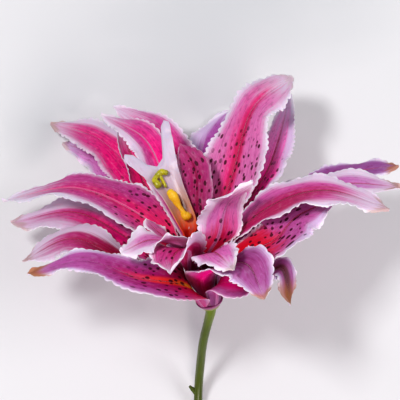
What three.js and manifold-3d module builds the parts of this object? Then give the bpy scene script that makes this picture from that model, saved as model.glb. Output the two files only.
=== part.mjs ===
// A double oriental lily, cut with its own stalk and laid down on a flat surface, in millimetres with +Z up.
// The bloom opens towards +Y and a little upwards, on its back tepals and the end of its stalk.
import * as THREE from "three";
import Module from "manifold-3d";

const wasm = await Module();
wasm.setup();
const { Manifold, CrossSection } = wasm;

// The bloom grows from one point and faces one way. Places round it are given as the distance out from
// its axis, the bearing round it in degrees and the rise along it.
const HEART = new THREE.Vector3(4, -47, 52); // middle of the receptacle
const AXIS = new THREE.Vector3(-0.2, 0.8, 0.57).normalize();
const RIGHTWARD = new THREE.Vector3(1, 0, 0).projectOnPlane(AXIS).normalize(); // bearing 0
const BACKWARD = new THREE.Vector3().crossVectors(AXIS, RIGHTWARD); // bearing 90

// Thickness of a tepal at its midrib and margin, and the half width it keeps at its tip.
const BLADE = { midrib: 0.9, margin: 0.7, tip: 0.6 };
const LENGTH_STEPS = 20;
const ACROSS = [-1, -0.7, -0.35, 0, 0.35, 0.7, 1]; // places across a tepal, from its left margin to its right

// The receptacle: a cone, a ledge that the outer tepals rise from and a neck with a socket for the stalk.
const DOME = {
  cone: { top: 6.2, slope: 0.865, radius: 6.6 },
  waist: { radius: 5.8, from: -1.2, to: -3.2 },
  ledge: { radius: 7, from: -3.4, to: -3.9 },
  neck: { radius: 4.6, flare: 0.9, rise: 1.6, depth: 7.4 },
  socket: { radius: 3.7, depth: 1.5 },
  sides: 40,
};
const STALK = { radius: 2.25, top: 2.9, sides: 20, steps: 36 };

// Each ring of tepals: its root on the receptacle and the place it passes in the wall of the throat,
// as the distance from the axis and the rise along it, with the half width of a claw at both.
const RINGS = {
  outer: { root: [6.8, -2.6], throat: [16, 18], claw: [2.4, 5.5] },
  second: { root: [6.3, 1.5], throat: [13.4, 21], claw: [1.6, 3.4] },
  third: { root: [5.0, 2.7], throat: [10.8, 24], claw: [1.2, 3] },
  fourth: { root: [3.7, 3.8], throat: [8.2, 27], claw: [1.1, 2.6] },
  heart: { root: [2.3, 5], throat: [5.4, 29], claw: [0.9, 2] },
};

// Every tepal, from the front of the bloom to its back. seat: its bearing on the receptacle. path: its
// middle, shoulder and tip as x, y and rise along the axis. half: half width at the middle and shoulder.
// blunt: 0.5 for a long point, 1 and more for a round end. claw: half width at the root and throat. cup:
// how far the margins bend up at the throat, middle, shoulder and tip, in degrees. roll: turn about its own
// length at the same places. lift: how much more the left and right margins curl. wave: height of the
// ruffle and waves along a margin.
const TEPALS = {
  fourth_tepal_front_left: {
    ring: "fourth", seat: 218, half: [9.5, 10.5], blunt: 1, wave: [2, 5],
    path: [[-8.5, -22, 46], [-24.3, -19.2, 53], [-38.3, -26, 51]],
  },
  third_tepal_front: {
    ring: "third", seat: 248, half: [10.5, 13], blunt: 0.7, claw: [1.6, 4.2], lift: [0, 80],
    path: [[-5.4, -24, 44.5], [-12, -25.5, 50], [-14, -34.7, 49.5]],
  },
  third_tepal_front_right: {
    ring: "third", seat: 300, half: [9.6, 11], blunt: 0.7, claw: [1.6, 4.4], throat: [11.8, 23],
    path: [[5, -26.3, 41], [8.2, -25.5, 50], [16, -33, 48]],
  },
  fourth_tepal_right: {
    ring: "fourth", seat: 300, half: [11, 12.5], blunt: 0.6, roll: [-20, -45, -45, -40],
    path: [[9, -16.5, 42], [13, -0.8, 56], [25.5, 8.5, 69]],
  },
  second_tepal_front_right: {
    ring: "second", seat: 276, half: [13, 13], blunt: 0.85, claw: [2.6, 9.2],
    path: [[13, -30.5, 39], [23.5, -31.5, 41], [31, -47.5, 28]],
  },
  outer_tepal_front_right: {
    ring: "outer", seat: 302, half: [11, 9], blunt: 0.8, claw: [2.6, 8.4], cup: [35, 15, 0, -10],
    roll: [25, 0, 0, 0], throat: [17.5, 17], path: [[25, -41.5, 16], [40, -33, 23.5], [44, -51.5, 8]],
  },
  second_tepal_right: {
    ring: "second", seat: 338, half: [13.5, 14], blunt: 0.7, roll: [10, 25, 15, 0], throat: [12.8, 22],
    path: [[35, -20, 35], [48, -7.5, 39], [69, 1.5, 41]],
  },
  third_tepal_right: {
    ring: "third", seat: 0, half: [13, 12], blunt: 1,
    path: [[33, -3.5, 44], [61, 5, 50], [92, -4.5, 40]],
  },
  outer_tepal_front_left: {
    ring: "outer", seat: 243, half: [12, 7.2], blunt: 0.95, claw: [2.2, 12.6], cup: [25, 10, 0, -10],
    roll: [-44, -30, -10, 0], path: [[-30, -37.4, 36], [-57, -29.4, 41.7], [-85, -36.7, 35]],
  },
  second_tepal_left: {
    ring: "second", seat: 186, half: [8.8, 13], blunt: 1.15, cup: [15, 6, -5, -10],
    path: [[-31, -33.2, 32.1], [-62.5, -19, 40.2], [-88.5, -30.5, 32]],
  },
  heart_tepal_left: {
    ring: "heart", seat: 218, half: [4.4, 6.2], blunt: 1.1, wave: [0.7, 3],
    path: [[-14.3, -20.3, 38.2], [-21, -15, 44], [-27, -9.5, 49.5]],
  },
  third_tepal_left: {
    ring: "third", seat: 153, half: [15, 12], blunt: 0.75, lift: [0, 25], throat: [10.2, 24.5],
    path: [[-30, -7, 44], [-63, 6.4, 50], [-100, -0.7, 42]],
  },
  heart_tepal_back: {
    ring: "heart", seat: 75, half: [8, 8], blunt: 0.8,
    path: [[-1.5, -3, 46], [-2.5, 15, 57], [-10, 28, 66]],
  },
  fourth_tepal_back_left: {
    ring: "fourth", seat: 115, half: [9, 9], blunt: 0.7,
    path: [[-17, 9, 52], [-28, 31, 66], [-50, 43, 73]],
  },
  third_tepal_back_right: {
    ring: "third", seat: 55, half: [18.4, 13], blunt: 1.9,
    path: [[15.8, 12, 47], [26.2, 46, 67.5], [46.5, 62, 73.5]],
  },
  second_tepal_back_inner: {
    ring: "second", seat: 110, half: [10, 8.8], blunt: 0.6, claw: [1.1, 2.4], lift: [0, 80],
    throat: [12.6, 21.7], path: [[-24.8, 2.9, 39.2], [-33.5, 20.4, 51], [-42, 39, 61]],
  },
  third_tepal_back: {
    ring: "third", seat: 94, half: [13, 11], blunt: 0.7,
    path: [[-9, 9, 42], [-21, 33, 58], [-44, 47.5, 68]],
  },
  second_tepal_back_right: {
    ring: "second", seat: 48, half: [8.6, 10], blunt: 0.8,
    path: [[28.5, 6.5, 39.3], [36.6, 22, 44], [46.5, 54, 52]],
  },
  second_tepal_back_left: {
    ring: "second", seat: 136, half: [12, 10.6], blunt: 1, claw: [1.1, 2.2], throat: [14, 20.5],
    path: [[-33.5, 12.4, 38.9], [-52.5, 32, 51.7], [-77, 39.5, 57]],
  },
  second_tepal_right_high: {
    ring: "second", seat: 12, half: [11.3, 11.5], blunt: 1.1,
    path: [[38, -4.4, 33.6], [69, 8, 39], [98.5, 6, 36]],
  },
  outer_tepal_right: {
    ring: "outer", seat: 21, half: [11, 9], blunt: 1.2, claw: [2.6, 6.6],
    path: [[36, -3, 28.6], [68, 12.3, 33.8], [99, 17.2, 34]],
  },
  outer_tepal_left: {
    ring: "outer", seat: 170, half: [12.5, 14], blunt: 1.1, claw: [2.3, 6],
    path: [[-32.5, -21, 30], [-63, -6, 36.4], [-96, -12, 31.5]],
  },
  outer_tepal_back: {
    ring: "outer", seat: 75, half: [18, 17], blunt: 0.8, claw: [2.5, 6],
    path: [[6, 8, 32], [10, 30, 38], [15, 46, 42]],
  },
  outer_tepal_back_left: {
    ring: "outer", seat: 124, half: [13, 9], blunt: 0.9, claw: [2.2, 5.6],
    path: [[-37.5, 7.5, 31.2], [-54, 23.5, 40], [-71, 29.5, 47.4]],
  },
};

// The flattened pistil: a trough that splits into two fingers. fork: for places across it, how far it reaches
// beyond its neck and how far it leans to the left while it does.
const PISTIL = {
  root: [0.6, 165, 6.8], throat: [6.4, 158, 29],
  path: [[-7.2, -13, 40.5], [-10.8, -2.5, 49], [-19.5, 14, 62]],
  half: [0.9, 1.3, 3.2, 5.6, 6.4, 6.4, 7, 9.4], cup: [50, 70, 70, 55, 25], neck: 0.7,
  fork: [
    [-1, 21, -6.5], [-0.7, 23, -7.5], [-0.38, 21, -8], [-0.26, 6, -2.5], [0, 3, 0], [0.3, 6, 1.5],
    [0.55, 13.5, 3.5], [0.8, 15.5, 5], [1, 12, 5],
  ],
};

// Beads strung over the pistil's face: share of its length, place across it, height over it and radius.
const STIGMA = [
  [[0.685, 0.4, 2.6, 1.3], [0.69, 0.05, 2.8, 1.8], [0.68, -0.2, 2.8, 1.3]],
  [[0.685, 0.4, 2.6, 1.2], [0.665, 0.8, 2.3, 1.4], [0.64, 0.9, 2.4, 1.8]],
  [[0.68, 0.25, 2.6, 0.9], [0.65, 0.28, 2.2, 0.8], [0.627, 0.3, 2, 0.7]],
];
const ANTHER = [
  [0.59, 0.3, 3, 1.9], [0.565, 0.2, 3.2, 2.4], [0.51, 0.1, 2.6, 1.3], [0.47, -0.05, 2.6, 1.2],
  [0.43, -0.15, 3.2, 2.2], [0.425, -0.5, 3.4, 2.1],
];

// The stalk's middle line: it leaves the receptacle downwards, then bends to lie along the surface.
const STALK_LINE = [
  [5.35, -52.4, 48.2], [5.3, -56, 45.2], [3.9, -62, 39], [1.6, -72, 28.5], [0.2, -84, 15.5], [-0.7, -95, 6.5],
  [-1.1, -108, 1], [-1, -123, -0.3], [-0.6, -141, -0.3], [0, -160, -0.3],
];
const NUB = [[-2.3, -99, 4.2, 1.5], [-5, -96.2, 5.2, 0.9]]; // on the stalk's left side: x, y, z, radius

const radians = THREE.MathUtils.degToRad;

function aroundAxis([out, bearing, rise]) {
  return HEART.clone()
    .addScaledVector(AXIS, rise)
    .addScaledVector(RIGHTWARD, out * Math.cos(radians(bearing)))
    .addScaledVector(BACKWARD, out * Math.sin(radians(bearing)));
}

// The place over x and y whose rise along the axis is known.
function fromAbove([x, y, rise]) {
  const z = HEART.z + (rise - AXIS.x * (x - HEART.x) - AXIS.y * (y - HEART.y)) / AXIS.z;
  return new THREE.Vector3(x, y, z);
}

// The value at share s of a row of keys spaced evenly along a blade, by Catmull-Rom.
function along(keys, s) {
  const last = keys.length - 1;
  const i = Math.min(Math.floor(s * last), last - 1);
  const u = s * last - i;
  const at = (k) => (k < 0 ? 2 * keys[0] - keys[1] : k > last ? 2 * keys[last] - keys[last - 1] : keys[k]);
  const [a, b, c, d] = [at(i - 1), at(i), at(i + 1), at(i + 2)];
  return b + 0.5 * u * (c - a + u * (2 * a - 5 * b + 4 * c - d + u * (3 * (b - c) + d - a)));
}

// Where a blade's middle line is at share s, with the directions along it, across it and towards the axis.
function frameOn(spine, roll, s) {
  const centre = spine.getPoint(s);
  const forward = spine.getTangent(s);
  const outward = centre.clone().sub(HEART).projectOnPlane(AXIS).normalize();
  const across = new THREE.Vector3().crossVectors(AXIS, outward).projectOnPlane(forward).normalize();
  across.applyAxisAngle(forward, radians(roll));
  return { centre, forward, across, inward: new THREE.Vector3().crossVectors(forward, across) };
}

// The middle surface of a tepal as a function of s, 0 at its root and 1 at its tip, and of t, -1 and 1 at
// its margins.
function tepalSurface(spec, index) {
  const { root, throat, claw } = { ...RINGS[spec.ring], ...spec };
  const seats = [[root[0], spec.seat, root[1]], [throat[0], spec.seat, throat[1]]].map(aroundAxis);
  const spine = new THREE.CatmullRomCurve3([...seats, ...spec.path.map(fromAbove)], false, "catmullrom", 0.5);
  const widths = [...claw, ...spec.half, spec.half[1] * spec.blunt];
  const wrap = [claw[0] / root[0], claw[1] / throat[0]].map(THREE.MathUtils.radToDeg);
  const cup = [wrap[0], ...(spec.cup ?? [wrap[1], 15, 0, -10])];
  const roll = [0, ...(spec.roll ?? [0, 0, 0, 0])];
  const [waveHeight, waveCount] = spec.wave ?? [1.4, 5];
  const [leftLift, rightLift] = spec.lift ?? [0, 0];
  return (s, t) => {
    const { centre, across, inward } = frameOn(spine, along(roll, s), s);
    const beyond = Math.max(0, s - 0.75) / 0.25;
    const width = Math.max(BLADE.tip, along(widths, s) * (1 - beyond ** 2.5));
    const free = THREE.MathUtils.smoothstep(s, 0.3, 0.7);
    const bend = radians(along(cup, s) + free * (t < 0 ? leftLift : rightLift)) || 1e-6;
    const phase = index * 2.4 + (t < 0 ? 1.7 : 0);
    const ruffle = waveHeight * free * Math.abs(t) ** 2.5 * Math.sin(2 * Math.PI * waveCount * s + phase);
    const sideways = (width * Math.sin(bend * t)) / bend;
    const lifted = (width * (1 - Math.cos(bend * t))) / bend + ruffle;
    return centre.addScaledVector(across, sideways).addScaledVector(inward, lifted);
  };
}

// The middle surface of the pistil: the trough up to its neck, then the two fingers.
function pistilSurface({ root, throat, path, half, cup, neck, fork }) {
  const points = [aroundAxis(root), aroundAxis(throat), ...path.map(fromAbove)];
  const spine = new THREE.CatmullRomCurve3(points, false, "catmullrom", 0.5);
  return (s, t) => {
    const body = Math.min(1, s / neck);
    const { centre, forward, across, inward } = frameOn(spine, 0, body);
    const bend = radians(along(cup, body));
    const width = along(half, body);
    const i = Math.max(1, fork.findIndex(([place]) => place >= Math.min(t, 1)));
    const share = THREE.MathUtils.clamp((t - fork[i - 1][0]) / (fork[i][0] - fork[i - 1][0]), 0, 1);
    const [reach, lean] = [1, 2].map((k) => THREE.MathUtils.lerp(fork[i - 1][k], fork[i][k], share));
    const out = Math.max(0, s - neck) / (1 - neck);
    return centre
      .addScaledVector(across, (width * Math.sin(bend * t)) / bend + lean * out)
      .addScaledVector(inward, (width * (1 - Math.cos(bend * t))) / bend - 1.5 * out * out)
      .addScaledVector(forward, reach * out);
  };
}

// The unit normal of a surface on its inner side, by small steps.
function normalOn(surface, s, t) {
  const step = 1e-3;
  const alongIt = surface(Math.min(1, s + step), t).sub(surface(Math.max(0, s - step), t));
  const acrossIt = surface(s, Math.min(1, t + step)).sub(surface(s, Math.max(-1, t - step)));
  return alongIt.cross(acrossIt).normalize();
}

// A closed blade of BLADE's thickness round a middle surface, split alike on both faces.
function blade(surface, places) {
  const columns = places.length;
  const positions = [];
  for (let i = 0; i <= LENGTH_STEPS; i++) {
    const s = 1 - (1 - i / LENGTH_STEPS) ** 1.25;
    for (const t of places) {
      const half = THREE.MathUtils.lerp(BLADE.midrib, BLADE.margin, t * t) / 2;
      const normal = normalOn(surface, s, t);
      positions.push(...surface(s, t).addScaledVector(normal, half).toArray());
      positions.push(...surface(s, t).addScaledVector(normal, -half).toArray());
    }
  }
  const inner = (i, j) => 2 * (i * columns + j);
  const outer = (i, j) => inner(i, j) + 1;
  const index = [];
  const quad = (a, b, c, d) => index.push(a, b, c, a, c, d);
  const [tip, last] = [LENGTH_STEPS, columns - 1];
  for (let i = 0; i < tip; i++) {
    for (let j = 0; j < last; j++) {
      quad(inner(i, j), inner(i + 1, j), inner(i + 1, j + 1), inner(i, j + 1));
      quad(outer(i + 1, j + 1), outer(i + 1, j), outer(i, j), outer(i, j + 1));
    }
    quad(inner(i, 0), outer(i, 0), outer(i + 1, 0), inner(i + 1, 0));
    quad(inner(i, last), inner(i + 1, last), outer(i + 1, last), outer(i, last));
  }
  for (let j = 0; j < last; j++) {
    quad(inner(0, j), inner(0, j + 1), outer(0, j + 1), outer(0, j));
    quad(inner(tip, j), outer(tip, j), outer(tip, j + 1), inner(tip, j + 1));
  }
  return new THREE.BufferGeometry()
    .setAttribute("position", new THREE.BufferAttribute(new Float32Array(positions), 3))
    .setIndex(index);
}

function toGeometry(solid) {
  const mesh = solid.getMesh();
  return new THREE.BufferGeometry()
    .setAttribute("position", new THREE.BufferAttribute(mesh.vertProperties, mesh.numProp))
    .setIndex(new THREE.BufferAttribute(mesh.triVerts, 1));
}

// A string of beads, each a centre and a radius, joined one to the next.
function beads(string) {
  const balls = string.map(([centre, radius]) => Manifold.sphere(radius, 12).translate(centre.toArray()));
  return Manifold.union(balls.slice(1).map((ball, i) => Manifold.hull([balls[i], ball])));
}

function beadsOn(surface, string) {
  const centre = ([s, t, height]) => surface(s, t).addScaledVector(normalOn(surface, s, t), height);
  return beads(string.map((bead) => [centre(bead), bead[3]]));
}

function receptacle() {
  const { cone, waist, ledge, neck, socket, sides } = DOME;
  const profile = [
    [0, socket.depth - neck.depth], [socket.radius, socket.depth - neck.depth], [socket.radius, -neck.depth],
    [neck.radius, -neck.depth], [neck.radius + neck.flare, neck.rise - neck.depth],
    [ledge.radius, ledge.to], [ledge.radius, ledge.from], [waist.radius, waist.to],
    [waist.radius, waist.from], [cone.radius, cone.top - cone.slope * cone.radius], [0, cone.top],
  ];
  const turned = Manifold.revolve(new CrossSection([profile]), sides);
  const place = new THREE.Matrix4().makeBasis(RIGHTWARD, BACKWARD, AXIS).setPosition(HEART);
  return turned.transform(place.toArray());
}

// The stalk as one solid with the nub on its side.
function stalk() {
  const { radius, top, sides, steps } = STALK;
  const line = new THREE.CatmullRomCurve3(STALK_LINE.map((p) => new THREE.Vector3(...p)));
  const { normals, binormals } = line.computeFrenetFrames(steps);
  const positions = [line.getPointAt(0), line.getPointAt(1)].flatMap((p) => p.toArray());
  const triVerts = [];
  for (let i = 0; i <= steps; i++) {
    const width = radius + (top - radius) * Math.max(0, 1 - i / 6) ** 2;
    for (let k = 0; k < sides; k++) {
      const turn = (2 * Math.PI * k) / sides;
      const point = line.getPointAt(i / steps).addScaledVector(normals[i], width * Math.cos(turn));
      positions.push(...point.addScaledVector(binormals[i], width * Math.sin(turn)).toArray());
      const [a, b] = [k, (k + 1) % sides].map((n) => 2 + i * sides + n);
      if (i === 0) triVerts.push(0, b, a);
      if (i === steps) triVerts.push(1, a, b);
      else triVerts.push(a, b, b + sides, a, b + sides, a + sides);
    }
  }
  const tube = new wasm.Mesh({
    numProp: 3,
    vertProperties: new Float32Array(positions),
    triVerts: new Uint32Array(triVerts),
  });
  const nub = beads(NUB.map(([x, y, z, r]) => [new THREE.Vector3(x, y, z), r]));
  return new Manifold(tube).add(nub);
}

const finish = (color, roughness) => new THREE.MeshStandardMaterial({ color, roughness, metalness: 0 });
const lily = new THREE.Group();
function addPiece(name, geometry, material) {
  const mesh = new THREE.Mesh(geometry, material);
  mesh.name = name;
  lily.add(mesh);
}

Object.entries(TEPALS).forEach(([name, spec], index) => {
  addPiece(name, blade(tepalSurface(spec, index), ACROSS), finish(0xd14f94, 0.5));
});
const pistil = pistilSurface(PISTIL);
addPiece("pistil", blade(pistil, PISTIL.fork.map(([place]) => place)), finish(0xf3e4ea, 0.45));
const stigma = Manifold.union(STIGMA.map((lobe) => beadsOn(pistil, lobe)));
addPiece("stigma", toGeometry(stigma), finish(0x9aa21c, 0.5));
addPiece("anther", toGeometry(beadsOn(pistil, ANTHER)), finish(0xf2b512, 0.6));
addPiece("receptacle", toGeometry(receptacle()), finish(0xb9c46a, 0.55));
addPiece("stalk", toGeometry(stalk()), finish(0x6f8f2a, 0.5));

// The part stands on z = 0 with the middle of its bounds over the origin.
const bounds = new THREE.Box3().setFromObject(lily);
const centre = bounds.getCenter(new THREE.Vector3());
lily.position.set(-centre.x, -centre.y, -bounds.min.z);

export default lily;
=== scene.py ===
"""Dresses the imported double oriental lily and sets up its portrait.

The cut flower lies on a pale floor and the camera looks down on it. Every tepal is rebuilt as a thin closed
blade on a fine grid, with the same middle surface as its plain solid, and gets its frilled margins, midrib
groove, veins and spots. The pistil, its lobes, the receptacle and the stalk are rebuilt in the same way.
Lengths are in millimetres until they go into a mesh.
"""

import logging
import math
from dataclasses import dataclass, fields, replace
from enum import Enum
from typing import Any

import bpy
import numpy as np
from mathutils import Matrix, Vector

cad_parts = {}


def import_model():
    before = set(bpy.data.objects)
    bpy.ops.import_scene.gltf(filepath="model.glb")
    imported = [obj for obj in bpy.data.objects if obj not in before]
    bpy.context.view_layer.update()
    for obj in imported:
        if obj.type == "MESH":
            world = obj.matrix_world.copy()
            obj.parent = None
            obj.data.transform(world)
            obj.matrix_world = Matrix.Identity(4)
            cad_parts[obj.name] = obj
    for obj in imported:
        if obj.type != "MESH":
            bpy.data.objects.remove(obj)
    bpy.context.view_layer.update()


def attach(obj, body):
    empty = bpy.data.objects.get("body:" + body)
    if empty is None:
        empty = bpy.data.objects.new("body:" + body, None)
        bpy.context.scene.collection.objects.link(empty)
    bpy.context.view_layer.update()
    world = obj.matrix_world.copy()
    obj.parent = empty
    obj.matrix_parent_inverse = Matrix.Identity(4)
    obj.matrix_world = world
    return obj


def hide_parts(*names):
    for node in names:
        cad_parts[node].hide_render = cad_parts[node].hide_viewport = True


log = logging.getLogger("lily")

Array = np.ndarray
Rgb = tuple[int, int, int]
Point = tuple[float, float, float]
Socket = bpy.types.NodeSocket
Tree = bpy.types.NodeTree

MM = 0.001
SHIFT = np.array([0.744, 48.078, 2.659])  # from the place where the flower is drawn to its place in the frame
HEART = np.array([4.0, -47.0, 52.0])  # middle of the receptacle
AXIS = np.array([-0.2, 0.8, 0.57]) / np.linalg.norm([-0.2, 0.8, 0.57])
ACROSS_AXIS = np.array([1.0, 0.0, 0.0]) - AXIS[0] * AXIS
RIGHTWARD = ACROSS_AXIS / np.linalg.norm(ACROSS_AXIS)
BACKWARD = np.cross(AXIS, RIGHTWARD)


class Slot(Enum):
    """The record's material slots, one for each kind of piece."""

    TEPAL = "tepal"
    PISTIL = "pistil"
    STIGMA = "stigma"
    ANTHER = "anther"
    RECEPTACLE = "receptacle"
    STALK = "stalk"


class Ring(Enum):
    """The rings of tepals, each with its root, its place in the throat's wall and its claw's half widths.

    Root and place are given as the distance from the axis and the rise along it.
    """

    OUTER = ((6.8, -2.6), (16, 18), (2.4, 5.5))
    SECOND = ((6.3, 1.5), (13.4, 21), (1.6, 3.4))
    THIRD = ((5.0, 2.7), (10.8, 24), (1.2, 3))
    FOURTH = ((3.7, 3.8), (8.2, 27), (1.1, 2.6))
    HEART = ((2.3, 5), (5.4, 29), (0.9, 2))


# ---- shapes


def unit(vectors: Array) -> Array:
    """Gives vectors their unit length, along the last axis of the array."""
    return vectors / np.maximum(np.linalg.norm(vectors, axis=-1, keepdims=True), 1e-12)


def smooth(low: float, high: float, x: Array) -> Array:
    """Rises from 0 at low to 1 at high along the cubic 3u squared minus 2u cubed."""
    u = np.clip((x - low) / (high - low), 0, 1)
    return u * u * (3 - 2 * u)


def around_axis(out: float, bearing: float, rise: float) -> Array:
    """Finds a place by its distance from the axis, its bearing (0 right, 90 back) and its rise from the heart."""
    turn = math.radians(bearing)
    return HEART + rise * AXIS + out * (math.cos(turn) * RIGHTWARD + math.sin(turn) * BACKWARD)


def from_above(x: float, y: float, rise: float) -> Array:
    """Finds the place over x (right) and y (up the picture) that has the given rise from the heart."""
    z = HEART[2] + (rise - AXIS[0] * (x - HEART[0]) - AXIS[1] * (y - HEART[1])) / AXIS[2]
    return np.array([x, y, z])


def neighbours(keys: Any, s: Array) -> tuple[Array, ...]:
    """Finds the four keys round each share of a row's length. Each end of the row has a mirrored neighbour.

    Args:
        keys: Evenly spaced keys, numbers or points.
        s: Shares of the row's length, 0 to 1.

    Returns:
        How far each share is on its way from the second key to the third, and the four keys.
    """
    row = np.asarray(keys, float)
    row = np.concatenate([2 * row[:1] - row[1:2], row, 2 * row[-1:] - row[-2:-1]])
    last = len(row) - 3
    i = np.minimum((s * last).astype(int), last - 1)
    u = (s * last - i).reshape(s.shape + (1,) * (row.ndim - 1))
    return u, row[i], row[i + 1], row[i + 2], row[i + 3]


def through(keys: Any, s: Array) -> Array:
    """Reads a row of keys at shares s of its length, by the uniform Catmull-Rom cubic."""
    u, a, b, c, d = neighbours(keys, s)
    return b + 0.5 * u * (c - a + u * (2 * a - 5 * b + 4 * c - d + u * (3 * (b - c) + d - a)))


def ripple(s: Array, count: float, seed: int) -> Array:
    """Gives smooth noise at shares s of a length: a cubic through a count of random heights from -1 to 1."""
    heights = np.random.default_rng(seed).uniform(-1, 1, max(3, int(count)))
    return through(heights, s)


def bead_path(points: Array, s: Array) -> Array:
    """Follows points with the centripetal Catmull-Rom curve.

    Between two points it is a Hermite cubic. Its end speeds come from the slopes to the neighbours, each
    weighed by the square root of the distance between them.

    Args:
        points: The points, one a row.
        s: Shares of the row, 0 to 1.

    Returns:
        One place for each share.
    """
    u, a, b, c, d = neighbours(points, s)
    ab, bc, cd = (np.sqrt(np.linalg.norm(q - p, axis=1))[:, None] for p, q in ((a, b), (b, c), (c, d)))
    start = ((b - a) / ab - (c - a) / (ab + bc) + (c - b) / bc) * bc
    end = ((c - b) / bc - (d - b) / (bc + cd) + (d - c) / cd) * bc
    return (
        (2 * u**3 - 3 * u**2 + 1) * b
        + (u**3 - 2 * u**2 + u) * start
        + (3 * u**2 - 2 * u**3) * c
        + (u**3 - u**2) * end
    )


def travelled(line: Array) -> Array:
    """Gives the length of a line up to each of its points."""
    return np.concatenate([[0], np.cumsum(np.linalg.norm(np.diff(line, axis=0), axis=1))])


def turns(sides: int) -> Array:
    """Gives the angles of points spaced evenly round a circle."""
    return np.linspace(0, 2 * math.pi, sides, endpoint=False)


def spine_frames(points: Array, roll: Any, s: Array) -> tuple[Array, Array, Array, Array]:
    """Finds a blade's middle line with the directions along it, across it and towards the axis.

    Across is square to the line and to the way out from the axis, then turned by the roll about the line.

    Args:
        points: The stations of the middle line.
        roll: Turn about the line in degrees, as keys spaced evenly along it.
        s: Shares of the length.

    Returns:
        Centre, forward, across and inward, each with one row for each share.
    """
    centre = through(points, s)
    step = 1e-4
    forward = unit(through(points, np.minimum(1, s + step)) - through(points, np.maximum(0, s - step)))
    outward = centre - HEART
    outward = unit(outward - (outward @ AXIS)[:, None] * AXIS)
    across = np.cross(AXIS, outward)
    across = unit(across - np.sum(across * forward, 1, keepdims=True) * forward)
    turn = np.radians(through(roll, s))[:, None]
    across = across * np.cos(turn) + np.cross(forward, across) * np.sin(turn)
    return centre, forward, across, np.cross(forward, across)


def arc(width: Array, bend: Array, t: Array) -> tuple[Array, Array]:
    """Bends a section of some half width into an arc, and gives how far its points t lie sideways and inward."""
    return width * np.sin(bend * t) / bend, width * (1 - np.cos(bend * t)) / bend


def over_line(centre: Array, across: Array, inward: Array, sideways: Array, lifted: Array) -> Array:
    """Lays out a grid of points by how far each lies across and inward of its place on a middle line."""
    return centre[:, None] + across[:, None] * sideways[..., None] + inward[:, None] * lifted[..., None]


def grid_normals(grid: Array) -> Array:
    """Gives the unit normals of a surface grid: the way along it times the way across it."""
    return unit(np.cross(np.gradient(grid, axis=0), np.gradient(grid, axis=1)))


def grid_quads(rows: int, columns: int, start: int = 0, closed: bool = False) -> Array:
    """Lists the faces of a grid of points that are numbered row by row.

    Args:
        rows: Number of rows of points.
        columns: Number of points in a row.
        start: Number of the first point.
        closed: Whether the last column joins the first.

    Returns:
        One face a row, four points each.
    """
    i, j = np.meshgrid(np.arange(rows - 1), np.arange(columns if closed else columns - 1), indexing="ij")
    a, b = i * columns + j, i * columns + (j + 1) % columns
    return np.stack([a, a + columns, b + columns, b], -1).reshape(-1, 4) + start


def placed(name: str, data: Any) -> bpy.types.Object:
    """Puts a new object into the scene."""
    made = bpy.data.objects.new(name, data)
    bpy.context.scene.collection.objects.link(made)
    return made


@dataclass
class Skin:
    """The points and faces of a mesh in the making, with the values that its finish reads."""

    points: Array
    faces: list[list[int]]
    place: Array
    span: Array

    def piece(self, node: str, slot: Slot, material: bpy.types.Material) -> None:
        """Makes the mesh object that stands for a CAD node and rides on the flower's body.

        Args:
            node: Name of the CAD node.
            slot: The record's material slot; not used.
            material: The finish.
        """
        mesh = bpy.data.meshes.new(f"{node}_look")
        mesh.from_pydata((self.points + SHIFT) * MM, [], self.faces)
        for name, values in (("place", self.place), ("span", self.span)):
            made = mesh.attributes.new(name, "FLOAT_VECTOR", "POINT")
            made.data.foreach_set("vector", np.ascontiguousarray(values, np.float32).ravel())
        mesh.polygons.foreach_set("use_smooth", np.ones(len(mesh.polygons), bool))
        mesh.materials.append(material)
        mesh.update()
        piece = placed(f"{node}_look", mesh)
        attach(piece, "root")
        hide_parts(node)
        log.info("%s: %d faces", piece.name, len(mesh.polygons))


def thin_blade(
    middle: Array, inner: Array, outer: Array, s: Array, t: Array, x: Array, along: Array, seed: float = 0.0
) -> Skin:
    """Closes a blade round a middle surface.

    The two faces stand off the middle surface along its normals, and strips of faces join them along the two
    margins, the root and the tip.

    Args:
        middle: The middle surface as a grid of points, along it and across it.
        inner: Distance of the inner face, one for each point of the grid.
        outer: Distance of the outer face.
        s: Shares of the length, one for each row.
        t: Places across it, -1 and 1 at the margins.
        x: Distances across it, one for each point of the grid.
        along: The length up to each row.
        seed: Where the blade lies in the noise of its paint.

    Returns:
        The closed skin. Its span holds t, s and 1 inside or 0 outside, its place x, the length and the seed.
    """
    normals = grid_normals(middle)
    rows, columns = middle.shape[:2]
    count = rows * columns
    inside = grid_quads(rows, columns)
    outside = grid_quads(rows, columns, count)[:, ::-1]
    left, right = np.arange(rows) * columns, np.arange(rows) * columns + columns - 1
    root, tip = np.arange(columns), np.arange(columns) + count - columns
    strips = [
        np.stack([left[:-1], left[:-1] + count, left[1:] + count, left[1:]], 1),
        np.stack([right[:-1], right[1:], right[1:] + count, right[:-1] + count], 1),
        np.stack([root[:-1], root[1:], root[1:] + count, root[:-1] + count], 1),
        np.stack([tip[:-1], tip[:-1] + count, tip[1:] + count, tip[1:]], 1),
    ]
    both = [middle + normals * inner[..., None], middle - normals * outer[..., None]]
    place = np.stack([x, along[:, None] + 0 * x, seed + 0 * x], -1)
    spans = [np.stack([t + 0 * x, s[:, None] + 0 * x, face + 0 * x], -1) for face in (1.0, 0.0)]
    return Skin(
        points=np.concatenate([grid.reshape(-1, 3) for grid in both]),
        faces=np.concatenate([inside, outside, *strips]).tolist(),
        place=np.concatenate([place.reshape(-1, 3)] * 2),
        span=np.concatenate([grid.reshape(-1, 3) for grid in spans]),
    )


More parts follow.
